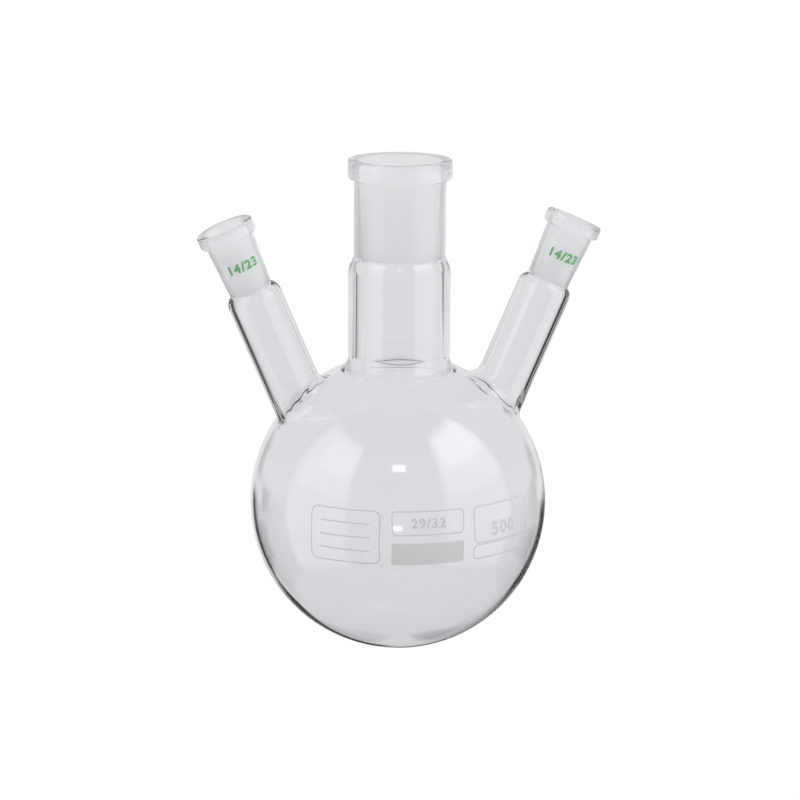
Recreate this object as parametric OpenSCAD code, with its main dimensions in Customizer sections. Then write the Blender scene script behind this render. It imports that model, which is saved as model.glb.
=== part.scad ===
// Three neck round-bottom flask, 500 ml, with angled side necks.
// Upright, with the origin at the lowest point of the bulb, +Z along the centre neck
// and the marks facing -Y. All sizes are in millimetres.

/* [Bulb] */
// Outer diameter of the round bulb
bulb_d = 105; // [98:0.5:112]
// Wall of the bulb
bulb_wall = 1.7; // [1.2:0.1:2.4]

/* [Centre neck] */
// Height of the rim above the lowest point of the bulb
rim_height = 175; // [168:0.5:185]
// Outer diameter of the rim bead
centre_bead_d = 36.4; // [35:0.1:39]
// Height of the rim bead
centre_bead_h = 7; // [5:0.1:9]
// Outer diameter along the ground joint
centre_joint_d = 32; // [31.6:0.1:33.5]
// Wide end of the ground socket
centre_socket_d = 29.2; // [28.2:0.1:29.4]
// Length of the ground socket
centre_socket_length = 32; // [28:0.5:34]
// Plain mouth above the ground face
centre_mouth_h = 2.5; // [1.5:0.1:4]
// Outer diameter of the tube under the joint
centre_tube_d = 35.8; // [34.5:0.1:38]
// Wall of the tube under the joint
centre_tube_wall = 2.9; // [1.6:0.1:3.2]
// Length of the shoulder between joint and tube
centre_shoulder_h = 6; // [4:0.1:8]
// Radius of the blend between tube and bulb
centre_blend_r = 5.2; // [3:0.1:6]

/* [Side necks] */
// Lean of each side neck from upright
side_tilt = 23; // [21:0.1:27]
// Angle between the two side necks, seen from above, across the front
side_spread = 174; // [160:1:180]
// Distance of the middle of each rim from the centre axis
side_rim_reach = 62.3; // [60:0.1:66]
// Height of the middle of each rim above the lowest point of the bulb
side_rim_height = 153.3; // [148:0.1:157]
// Outer diameter of the rim bead
side_bead_d = 20.2; // [19.4:0.1:22]
// Height of the rim bead
side_bead_h = 4.7; // [3.5:0.1:6]
// Outer diameter of the joint at its wide end
side_joint_d = 17.4; // [17.2:0.1:18.2]
// Wide end of the ground socket
side_socket_d = 14.5; // [13.8:0.1:14.8]
// Length of the ground socket
side_socket_length = 23; // [20:0.5:25]
// Plain mouth above the ground face
side_mouth_h = 1; // [0.8:0.1:2]
// Outer diameter of the tube under the joint
side_tube_d = 19.3; // [18.2:0.1:20.5]
// Wall of the tube under the joint
side_tube_wall = 1.8; // [1.1:0.1:2]
// Length of the shoulder between joint and tube
side_shoulder_h = 3.6; // [2.5:0.1:5]
// Radius of the blend between tube and bulb
side_blend_r = 4.4; // [2.5:0.1:4.8]

/* [Marks] */
// Thickness of the fired enamel
enamel_t = 0.06; // [0.04:0.01:0.15]
// Line width of the frames on the bulb
frame_line_w = 0.45; // [0.3:0.05:0.8]
// Top edge of the marks above the lowest point of the bulb
marks_top = 62.9; // [56:0.1:66]
// Width of each frame and of the writing patch
frame_w = 25.2; // [20:0.1:26]
// Height of the middle frame
joint_frame_h = 8.5; // [6:0.1:10]
// Height of the writing patch
patch_h = 7.7; // [5:0.1:9]
// Gap between the middle frame and the writing patch
patch_gap = 2.6; // [1:0.1:4]
// Height of the volume frame
volume_frame_h = 13.2; // [11:0.1:16]
// Height of the small frame under it
small_frame_h = 5.4; // [4:0.1:6]
// Turn round the bulb from one frame to the next
frame_turn = 32; // [31:0.5:40]
// Height of the numerals in the middle frame
joint_numeral_h = 3.6; // [3:0.1:5]
// Height of the numerals in the volume frame
volume_numeral_h = 5; // [4:0.1:7]
// Height of the numerals on the side necks
neck_numeral_h = 3.4; // [2.5:0.1:4]
// Middle of those numerals below the rim
neck_numeral_drop = 13.5; // [10:0.1:16]
// Corner radius of the middle and the small frame
small_corner_r = 1.6; // [0.8:0.1:2.4]
// Corner radius of the two tall frames
wide_corner_r = 2.6; // [1:0.1:4]
// Corner radius of the writing patch
patch_corner_r = 1; // [0.5:0.1:2]
// Ruled lines in the left frame
ruled_lines = 3; // [1:1:4]
// Length of each ruled line
ruled_line_l = 18; // [10:0.5:19]
// Middle of the volume numerals below the middle of their frame
volume_numeral_drop = 2.2; // [0:0.1:3]

/* [Hidden] */
$fn = 120;

bulb_r = bulb_d / 2;
bulb_centre = [0, 0, bulb_r];
// A standard ground cone loses this share of its length in radius
socket_slope = 0.05;
// How far a blend reaches under the faces that it joins, and how far inside both its root lies
bury = 0.04;
blend_root = 0.8;
// Steps along a blend, and round a slanted blend
blend_steps = 6;
blend_sectors = 36;
// Rounds of a rim bead at its top, its underside and its root, as shares of its overhang
top_share = 0.4;
under_share = 0.6;
root_share = 0.35;
// Round of the inner lip, as a share of the plain mouth
lip_share = 0.4;
// The right side neck points to +X, turned to the front by half of what the spread lacks
side_turn = (180 - side_spread) / 2;
side_axis = [sin(side_tilt) * cos(side_turn), -sin(side_tilt) * sin(side_turn), cos(side_tilt)];
side_rim = [side_rim_reach * cos(side_turn), -side_rim_reach * sin(side_turn), side_rim_height];
// The necks run down into the bulb, and end inside its cavity
centre_depth = rim_height - bulb_r;
side_depth = (side_rim - bulb_centre) * side_axis - bulb_r / 2;

glass = [0.80, 0.87, 0.90, 0.45];
white_enamel = [0.93, 0.93, 0.90];
patch_enamel = [0.78, 0.78, 0.74];
green_enamel = [0.20, 0.55, 0.25];

// Figures are drawn in bars, each from its lower left to its upper right end, in half cells from
// the middle: top, upper right, lower right, bottom, lower left, upper left and middle
BARS = [[[-1, 1], [1, 1]], [[1, 0], [1, 1]], [[1, -1], [1, 0]], [[-1, -1], [1, -1]],
        [[-1, -1], [-1, 0]], [[-1, 0], [-1, 1]], [[-1, 0], [1, 0]]];
// The bars of each numeral from 0 to 9
NUMERALS = [[0, 1, 2, 3, 4, 5], [1, 2], [0, 1, 6, 4, 3], [0, 1, 6, 2, 3], [5, 6, 1, 2],
            [0, 5, 6, 2, 3], [0, 5, 4, 3, 2, 6], [0, 1, 2], [0, 1, 2, 3, 4, 5, 6], [6, 5, 0, 1, 2, 3]];
SLASH = -1;
CENTRE_SIZE = [2, 9, SLASH, 3, 2];
SIDE_SIZE = [1, 4, SLASH, 2, 3];
VOLUME = [5, 0, 0];
// A figure's width, its stroke, the slash's stroke and the step to the next, as shares of its height
figure_w = 0.55;
figure_stroke = 0.15;
slash_stroke = 0.1;
figure_step = 0.8;
// How far the shapes that cut a bore or a mark out reach past the glass
cut_reach = 2;

// Points along an arc about [cx, cy], from angle a0 to a1
function arc(cx, cy, r, a0, a1, steps = 6) =
    [for (i = [0:steps]) let (a = a0 + (a1 - a0) * i / steps) [cx + r * cos(a), cy + r * sin(a)]];

// A shoulder: from radius r0 at height y it swells to r1, h lower, where it runs straight down
function shoulder(r0, r1, y, h, steps = 6) =
    let (swell = r1 - r0, round_r = (swell * swell + h * h) / (2 * swell), cx = r1 - round_r)
    arc(cx, y - h, round_r, atan2(h, r0 - cx), 0, steps);

// Unit vector
function unit(v) = v / norm(v);

// Outside of a neck as a solid of revolution, with the rim at z = 0 and the tube going down
module neck_body(bead_d, bead_h, joint_d, joint_slope, joint_h, tube_d, shoulder_h, depth) {
    bead_r = bead_d / 2;
    overhang = bead_r - (joint_d / 2 - joint_slope * bead_h);
    top_round = top_share * overhang;
    under_round = under_share * overhang;
    root_round = root_share * overhang;
    joint_r = function (drop) joint_d / 2 - joint_slope * drop;
    root_drop = bead_h + root_round;
    rotate_extrude()
        polygon(concat(
            [[0, 0]],
            arc(bead_r - top_round, -top_round, top_round, 90, 0),
            arc(bead_r - under_round, under_round - bead_h, under_round, 0, -90),
            arc(joint_r(root_drop) + root_round, -root_drop, root_round, 90, 180, 4),
            shoulder(joint_r(joint_h), tube_d / 2, -joint_h, shoulder_h),
            [[tube_d / 2, -depth], [0, -depth]]
        ));
}

// Inside of a neck: rounded mouth, ground socket, shoulder and plain bore
module neck_bore(socket_d, socket_h, mouth_h, bore_d, shoulder_h, depth) {
    socket_r = socket_d / 2;
    lip_r = lip_share * mouth_h;
    end_drop = mouth_h + socket_h;
    end_r = socket_r - socket_slope * socket_h;
    rotate_extrude()
        polygon(concat(
            [[0, cut_reach], [socket_r + lip_r, cut_reach]],
            arc(socket_r + lip_r, -lip_r, lip_r, 90, 180),
            [[socket_r, -mouth_h]],
            shoulder(end_r, bore_d / 2, -end_drop, shoulder_h),
            [[bore_d / 2, -depth], [0, -depth]]
        ));
}

// One section of the blend between a tube and a sphere, at the tube's side u: the path of a ball
// of radius r that rolls between them, closed by a point inside both. The tube runs along axis
// through point base; the sphere is about the bulb's centre.
function blend_section(base, axis, u, tube_r, sphere_r, r) =
    let (
        start = base + (tube_r + r) * u - bulb_centre,
        along = start * axis,
        climb = -along + sqrt(along * along - start * start + (sphere_r + r) * (sphere_r + r)),
        ball = start + climb * axis,
        to_sphere = -unit(ball),
        sweep = acos(-u * to_sphere),
        foot = base + tube_r * u - bulb_centre,
        foot_along = foot * axis,
        corner = foot + (-foot_along + sqrt(foot_along * foot_along - foot * foot + sphere_r * sphere_r)) * axis,
        root = corner - blend_root * (u + unit(corner))
    )
    [for (i = [0:blend_steps])
        let (
            t = i / blend_steps,
            dir = (sin((1 - t) * sweep) * -u + sin(t * sweep) * to_sphere) / sin(sweep),
            sunk = (i == 0 || i == blend_steps) ? bury : 0
        )
        bulb_centre + ball + (r + sunk) * dir,
     bulb_centre + root];

// The ring that fills the corner between a slanted tube and the sphere
module slanted_blend(base, axis, tube_r, sphere_r, r) {
    side = unit(cross(axis, [0, 1, 0]));
    ahead = cross(side, axis);
    n = blend_steps + 2;
    sections = [for (i = [0:blend_sectors - 1])
        let (a = 360 * i / blend_sectors)
        blend_section(base, axis, cos(a) * side + sin(a) * ahead, tube_r, sphere_r, r)];
    points = [for (s = sections) each s];
    faces = [for (i = [0:blend_sectors - 1], j = [0:n - 1])
        let (
            a = i * n + j,
            b = i * n + (j + 1) % n,
            c = ((i + 1) % blend_sectors) * n + (j + 1) % n,
            d = ((i + 1) % blend_sectors) * n + j
        )
        each [[a, b, c], [a, c, d]]];
    polyhedron(points, faces);
}

// The ring that fills the corner between the upright tube and the sphere
module upright_blend(tube_r, sphere_r, r) {
    section = blend_section([0, 0, 0], [0, 0, 1], [1, 0, 0], tube_r, sphere_r, r);
    rotate_extrude()
        polygon([for (p = section) [p[0], p[2]]]);
}

// Places a neck with its rim at the right or left side rim: sign is 1 or -1
module at_side(sign) {
    mirror([sign > 0 ? 0 : 1, 0, 0])
        translate(side_rim)
            rotate([0, 0, -side_turn])
                rotate([0, side_tilt, 0])
                    children();
}

// Everything inside the outer faces, as if the flask were solid
module outside() {
    translate(bulb_centre) sphere(bulb_r);
    translate([0, 0, rim_height])
        neck_body(centre_bead_d, centre_bead_h, centre_joint_d, 0, centre_mouth_h + centre_socket_length,
                  centre_tube_d, centre_shoulder_h, centre_depth);
    upright_blend(centre_tube_d / 2, bulb_r, centre_blend_r);
    for (sign = [-1, 1]) {
        at_side(sign)
            neck_body(side_bead_d, side_bead_h, side_joint_d, socket_slope, side_mouth_h + side_socket_length,
                      side_tube_d, side_shoulder_h, side_depth);
        mirror([sign > 0 ? 0 : 1, 0, 0])
            slanted_blend(side_rim, side_axis, side_tube_d / 2, bulb_r, side_blend_r);
    }
}

// The cavity of the bulb and the bores of the necks
module inside() {
    hollow_r = bulb_r - bulb_wall;
    translate(bulb_centre) sphere(hollow_r);
    translate([0, 0, rim_height])
        neck_bore(centre_socket_d, centre_socket_length, centre_mouth_h,
                  centre_tube_d - 2 * centre_tube_wall, centre_shoulder_h, centre_depth);
    upright_blend(centre_tube_d / 2 - centre_tube_wall, hollow_r,
                  centre_blend_r + (centre_tube_wall + bulb_wall) / 2);
    for (sign = [-1, 1]) {
        at_side(sign)
            neck_bore(side_socket_d, side_socket_length, side_mouth_h,
                      side_tube_d - 2 * side_tube_wall, side_shoulder_h, side_depth);
        mirror([sign > 0 ? 0 : 1, 0, 0])
            slanted_blend(side_rim, side_axis, side_tube_d / 2 - side_tube_wall, hollow_r,
                          side_blend_r + (side_tube_wall + bulb_wall) / 2);
    }
}

// The glass: blown, drawn and fused into one piece
module flask() {
    color(glass)
        difference() {
            outside();
            inside();
        }
}

// A rectangle about the origin with its corners rounded
module rounded(w, h, r) {
    polygon(concat(
        arc(w / 2 - r, h / 2 - r, r, 0, 90),
        arc(r - w / 2, h / 2 - r, r, 90, 180),
        arc(r - w / 2, r - h / 2, r, 180, 270),
        arc(w / 2 - r, r - h / 2, r, 270, 360)
    ));
}

// A rounded frame with its outer size given
module frame(w, h, r) {
    difference() {
        rounded(w, h, r);
        rounded(w - 2 * frame_line_w, h - 2 * frame_line_w, r - frame_line_w);
    }
}

// One figure of height h about the origin
module figure(which, h) {
    stroke = figure_stroke * h;
    cell = [figure_w * h - stroke, h - stroke];
    if (which == SLASH)
        rotate(-atan2(cell[0], cell[1]))
            square([slash_stroke * h, norm(cell)], center = true);
    else
        for (i = NUMERALS[which])
            let (
                from = [for (k = [0, 1]) BARS[i][0][k] * cell[k] / 2],
                to = [for (k = [0, 1]) BARS[i][1][k] * cell[k] / 2]
            )
            translate((from + to) / 2)
                square([to[0] - from[0] + stroke, to[1] - from[1] + stroke], center = true);
}

// A row of figures about the origin
module figures(row, h) {
    for (i = [0:len(row) - 1])
        translate([(i - (len(row) - 1) / 2) * figure_step * h, 0])
            figure(row[i], h);
}

// Lays a flat shape on the bulb as enamel: turned from the front, with its origin at height z
module on_bulb(turn, z) {
    intersection() {
        translate(bulb_centre)
            difference() {
                sphere(bulb_r + enamel_t);
                sphere(bulb_r);
            }
        rotate([0, 0, turn])
            translate([0, 0, z])
                rotate([90, 0, 0])
                    linear_extrude(bulb_r + cut_reach)
                        children();
    }
}

// Lays a row of figures round the joint of a side neck as enamel
module on_side_joint(sign, row, h) {
    foot = side_mouth_h + side_socket_length;
    joint_r = function (drop) side_joint_d / 2 - socket_slope * drop;
    step_angle = figure_step * h / joint_r(neck_numeral_drop) * 180 / PI;
    at_side(sign)
        intersection() {
            translate([0, 0, -foot])
                difference() {
                    cylinder(h = foot, r1 = joint_r(foot) + enamel_t, r2 = joint_r(0) + enamel_t);
                    cylinder(h = foot, r1 = joint_r(foot), r2 = joint_r(0));
                }
            mirror([sign > 0 ? 0 : 1, 0, 0])
                for (i = [0:len(row) - 1])
                    rotate([0, 0, (i - (len(row) - 1) / 2) * step_angle])
                        translate([0, 0, -neck_numeral_drop])
                            rotate([90, 0, 0])
                                linear_extrude(joint_r(0) + cut_reach)
                                    figure(row[i], h);
        }
}

// The field that can be written on
module writing_patch() {
    color(patch_enamel)
        on_bulb(0, marks_top - joint_frame_h - patch_gap - patch_h / 2)
            rounded(frame_w, patch_h, patch_corner_r);
}

// Frames and sizes on the bulb
module bulb_marks() {
    marks_h = joint_frame_h + patch_gap + patch_h;
    color(white_enamel) {
        on_bulb(0, marks_top - joint_frame_h / 2) {
            frame(frame_w, joint_frame_h, small_corner_r);
            figures(CENTRE_SIZE, joint_numeral_h);
        }
        on_bulb(-frame_turn, marks_top - marks_h / 2) {
            frame(frame_w, marks_h, wide_corner_r);
            for (i = [1:ruled_lines])
                translate([0, marks_h * (i / (ruled_lines + 1) - 1 / 2)])
                    square([ruled_line_l, frame_line_w], center = true);
        }
        on_bulb(frame_turn, marks_top - volume_frame_h / 2) {
            frame(frame_w, volume_frame_h, wide_corner_r);
            translate([0, -volume_numeral_drop])
                figures(VOLUME, volume_numeral_h);
        }
        on_bulb(frame_turn, marks_top - marks_h + small_frame_h / 2)
            frame(frame_w, small_frame_h, small_corner_r);
    }
}

// Sizes on the joints of the side necks
module neck_marks() {
    color(green_enamel)
        for (sign = [-1, 1])
            on_side_joint(sign, SIDE_SIZE, neck_numeral_h);
}

flask();
writing_patch();
bulb_marks();
neck_marks();
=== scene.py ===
"""Looks of a three neck round-bottom flask: blown glass, ground sockets and fired enamel marks.

Everything is in metres, in the part's own frame: the origin is the lowest point of the bulb, +Z runs
up the centre neck, the marks face -Y and the right side neck points to +X.
"""

from __future__ import annotations

import logging
import math
from dataclasses import dataclass, field
from enum import Enum

import bmesh
import bpy
import numpy as np
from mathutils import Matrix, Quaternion, Vector
from mathutils.geometry import delaunay_2d_cdt


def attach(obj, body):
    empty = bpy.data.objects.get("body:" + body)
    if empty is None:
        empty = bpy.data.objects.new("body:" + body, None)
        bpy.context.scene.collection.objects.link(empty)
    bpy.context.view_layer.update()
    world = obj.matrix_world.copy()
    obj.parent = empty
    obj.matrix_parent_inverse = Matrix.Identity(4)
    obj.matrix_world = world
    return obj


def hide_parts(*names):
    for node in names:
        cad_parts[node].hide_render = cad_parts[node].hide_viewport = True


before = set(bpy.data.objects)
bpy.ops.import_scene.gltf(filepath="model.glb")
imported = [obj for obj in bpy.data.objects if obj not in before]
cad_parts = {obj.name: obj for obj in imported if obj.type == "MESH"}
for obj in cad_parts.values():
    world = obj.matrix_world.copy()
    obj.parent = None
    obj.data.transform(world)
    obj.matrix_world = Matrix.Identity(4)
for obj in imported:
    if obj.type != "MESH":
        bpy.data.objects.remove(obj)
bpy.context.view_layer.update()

LOG = logging.getLogger("flask")
MM = 0.001
Array = np.ndarray


# ---------------------------------------------------------------------------------------------------
# Small vector and mesh tools
# ---------------------------------------------------------------------------------------------------


def unit(vectors: Array) -> Array:
    """Vectors at length 1: each is divided by the root of the sum of its squares."""
    return vectors / np.linalg.norm(vectors, axis=-1, keepdims=True)


def smooth_step(value: Array, low: float, high: float) -> Array:
    """A soft step from 0 at low to 1 at high: 3 t^2 - 2 t^3, where t is the share of the way."""
    t = np.clip((value - low) / (high - low), 0.0, 1.0)
    return t * t * (3.0 - 2.0 * t)


def turned(points: Array, angle: float) -> Array:
    """Points (n, 3) turned about the Z axis by an angle in radians, by the right-hand rule."""
    c, s = math.cos(angle), math.sin(angle)
    return points @ np.array([[c, s, 0.0], [-s, c, 0.0], [0.0, 0.0, 1.0]])


def grid_faces(rows: int, columns: int, closed: bool) -> Array:
    """Triangles of a grid of points, two for each cell, with the points counted row by row.

    Args:
        rows: Number of rows.
        columns: Number of columns.
        closed: Whether the last column joins the first one.

    Returns:
        Array (m, 3) of point numbers.
    """
    across = np.arange(columns if closed else columns - 1)
    row, column = np.meshgrid(np.arange(rows - 1), across, indexing="ij")
    a = (row * columns + column).ravel()
    b = (row * columns + (column + 1) % columns).ravel()
    return np.concatenate([np.stack([a, b, b + columns], 1), np.stack([a, b + columns, a + columns], 1)])


def run_along(points: Array) -> Array:
    """Length of a line up to each of its points: the sum of the steps before it."""
    return np.concatenate([[0.0], np.cumsum(np.linalg.norm(np.diff(points, axis=0), axis=1))])


def sampled(line: Array, run: Array, at: Array) -> Array:
    """Points of a flat line (n, 2) at the places at, straight between its own at the places run."""
    return np.stack([np.interp(at, run, line[:, k]) for k in (0, 1)], 1)


def facings(points: Array, faces: Array) -> Array:
    """Vector across each triangle: the cross product of its first two sides."""
    corners = points[faces]
    return np.cross(corners[:, 1] - corners[:, 0], corners[:, 2] - corners[:, 0])


def laid_flat(ball: Array) -> Array:
    """Points of a unit ball laid flat by x / (1 + z), y / (1 + z), which keeps circles as circles."""
    return ball[:, :2] / (1.0 + ball[:, 2:])


@dataclass
class Patch:
    """A stretch of surface: its points, its normals on the air side, its marks and its triangles."""

    points: Array
    normals: Array
    ground: Array
    inner: Array
    faces: Array


class Patchwork:
    """Joins patches that share their edge points into one mesh."""

    WELD = 1e-8

    def __init__(self) -> None:
        """Starts with no patch."""
        self._patches: list[Patch] = []

    def add(self, patch: Patch) -> None:
        """Adds a patch, with each triangle turned to face the side that its normals point to.

        Args:
            patch: The patch, whose triangles may run either way round.
        """
        facing = facings(patch.points, patch.faces)
        wrong = np.einsum("ij,ij->i", facing, patch.normals[patch.faces].sum(1)) < 0
        faces = patch.faces.copy()
        faces[wrong] = faces[wrong][:, ::-1]
        self._patches.append(Patch(patch.points, patch.normals, patch.ground, patch.inner, faces))

    def whole(self) -> Patch:
        """Welds points that lie in one place, and drops the triangles that this leaves without area.

        Returns:
            One patch that holds them all.
        """
        counts = np.cumsum([0] + [len(p.points) for p in self._patches])
        faces = np.concatenate([p.faces + start for p, start in zip(self._patches, counts)])
        points = np.concatenate([p.points for p in self._patches])
        keys = np.round(points / self.WELD).astype(np.int64)
        _, first, number = np.unique(keys, axis=0, return_index=True, return_inverse=True)
        faces = number.ravel()[faces]
        a, b, c = faces.T
        faces = faces[(a != b) & (b != c) & (c != a)]
        kept = [np.concatenate([getattr(p, name) for p in self._patches])[first]
                for name in ("normals", "ground", "inner")]
        return Patch(points[first], *kept, faces)


def make_piece(name: str, points: Array, faces: Array, normals: Array | None = None,
               marks: dict[str, Array] | None = None) -> bpy.types.Object:
    """Puts a triangle mesh into the scene as an object at the origin.

    Args:
        name: Name of the piece.
        points: Array (n, 3) of places.
        faces: Array (m, 3) of point numbers.
        normals: Normals of the points, or None for normals by angle.
        marks: Values at the points, by the name of their attribute.

    Returns:
        The object.
    """
    mesh = bpy.data.meshes.new(name)
    mesh.vertices.add(len(points))
    mesh.vertices.foreach_set("co", points.astype(np.float32).ravel())
    mesh.loops.add(faces.size)
    mesh.loops.foreach_set("vertex_index", faces.astype(np.int32).ravel())
    mesh.polygons.add(len(faces))
    mesh.polygons.foreach_set("loop_start", np.arange(0, faces.size, 3, dtype=np.int32))
    mesh.update(calc_edges=True)
    mesh.validate()
    mesh.shade_smooth()
    for mark, values in (marks or {}).items():
        mesh.attributes.new(mark, "FLOAT", "POINT").data.foreach_set("value", values.astype(np.float32))
    if normals is None:
        mesh.set_sharp_from_angle(angle=math.radians(40.0))
    else:
        mesh.normals_split_custom_set_from_vertices(normals.astype(np.float32))
    piece = bpy.data.objects.new(name, mesh)
    bpy.context.scene.collection.objects.link(piece)
    return piece


# ---------------------------------------------------------------------------------------------------
# Glass
# ---------------------------------------------------------------------------------------------------


@dataclass
class Meridian:
    """A line in the plane through a neck's axis, drawn as fine steps and then softened as by a flame.

    Each point is a radius from the axis and a height over the rim. Air lies to the left of the way
    that the line is drawn.
    """

    STEP = 0.12 * MM
    SOFTNESS = 0.22 * MM
    SPACING = 1.3 * MM
    TURN = math.radians(9.0)

    points: list[Array] = field(default_factory=list)
    ground: list[Array] = field(default_factory=list)

    def line(self, start: tuple[float, float], end: tuple[float, float], ground: float = 0.0) -> None:
        """Draws a straight stretch: start + t (end - start).

        Args:
            start: Radius and height where it begins.
            end: Radius and height where it ends.
            ground: Share of it that is ground.
        """
        steps = max(2, round(math.dist(start, end) / self.STEP))
        t = np.linspace(0.0, 1.0, steps)[:, None]
        self.points.append(np.array(start) + t * (np.array(end) - np.array(start)))
        self.ground.append(np.full(steps, ground))

    def arc(self, centre: tuple[float, float], radius: float, first: float, last: float,
            ground: float = 0.0) -> None:
        """Draws an arc: centre + radius (cos a, sin a), with a in radians from first to last.

        Args:
            centre: Radius and height of its middle.
            radius: Radius of the arc.
            first: Angle where it begins.
            last: Angle where it ends.
            ground: Share of it that is ground.
        """
        steps = max(4, round(abs(last - first) * radius / self.STEP))
        a = np.linspace(first, last, steps)
        self.points.append(np.array(centre) + radius * np.stack([np.cos(a), np.sin(a)], 1))
        self.ground.append(np.full(steps, ground))

    def shoulder(self, narrow: float, wide: float, height: float, drop: float, upwards: bool) -> None:
        """Draws the arc by which a tube of radius wide closes in to radius narrow at its top.

        The arc leaves the tube at height - drop without a kink, so its radius is
        (swell^2 + drop^2) / (2 swell), where swell is wide - narrow.

        Args:
            narrow: Radius at the top.
            wide: Radius of the tube.
            height: Height of the top.
            drop: How far below it the tube begins.
            upwards: Whether the line runs up along it.
        """
        swell = wide - narrow
        radius = (swell * swell + drop * drop) / (2.0 * swell)
        top = math.atan2(drop, narrow - (wide - radius))
        ends = (0.0, top) if upwards else (top, 0.0)
        self.arc((wide - radius, height - drop), radius, *ends)

    def softened(self) -> tuple[Array, Array, Array]:
        """Blurs the line along its length and spaces its points by length and by turning.

        The line is sampled in even steps of length, and each point is moved to the mean of its
        neighbours under a bell curve of width SOFTNESS. The ends stay straight, because the line is
        first carried on past them.

        Returns:
            Points (n, 2), normals (n, 2) on the air side, and the share that is ground (n).
        """
        points = np.concatenate(self.points)
        run = run_along(points)
        even = np.linspace(0.0, run[-1], round(run[-1] / self.STEP))
        line = sampled(points, run, even)
        ground = np.interp(even, run, np.concatenate(self.ground))
        reach = round(3 * self.SOFTNESS / self.STEP)
        bell = np.exp(-0.5 * (np.arange(-reach, reach + 1) * self.STEP / self.SOFTNESS) ** 2)
        bell /= bell.sum()
        before = 2 * line[0] - line[reach:0:-1]
        after = 2 * line[-1] - line[-2:-reach - 2:-1]
        long = np.concatenate([before, line, after])
        line = np.stack([np.convolve(long[:, k], bell, mode="valid") for k in (0, 1)], 1)
        along = unit(np.gradient(line, axis=0))
        angle = np.unwrap(np.arctan2(along[:, 1], along[:, 0]))
        weight = self.STEP / self.SPACING + np.abs(np.diff(angle)) / self.TURN
        total = np.concatenate([[0.0], np.cumsum(weight)])
        wanted = np.linspace(0.0, total[-1], math.ceil(total[-1]) + 1)
        line = sampled(line, total, wanted)
        angle = np.interp(wanted, total, angle)
        return line, np.stack([-np.sin(angle), np.cos(angle)], 1), np.interp(wanted, total, ground)


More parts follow.
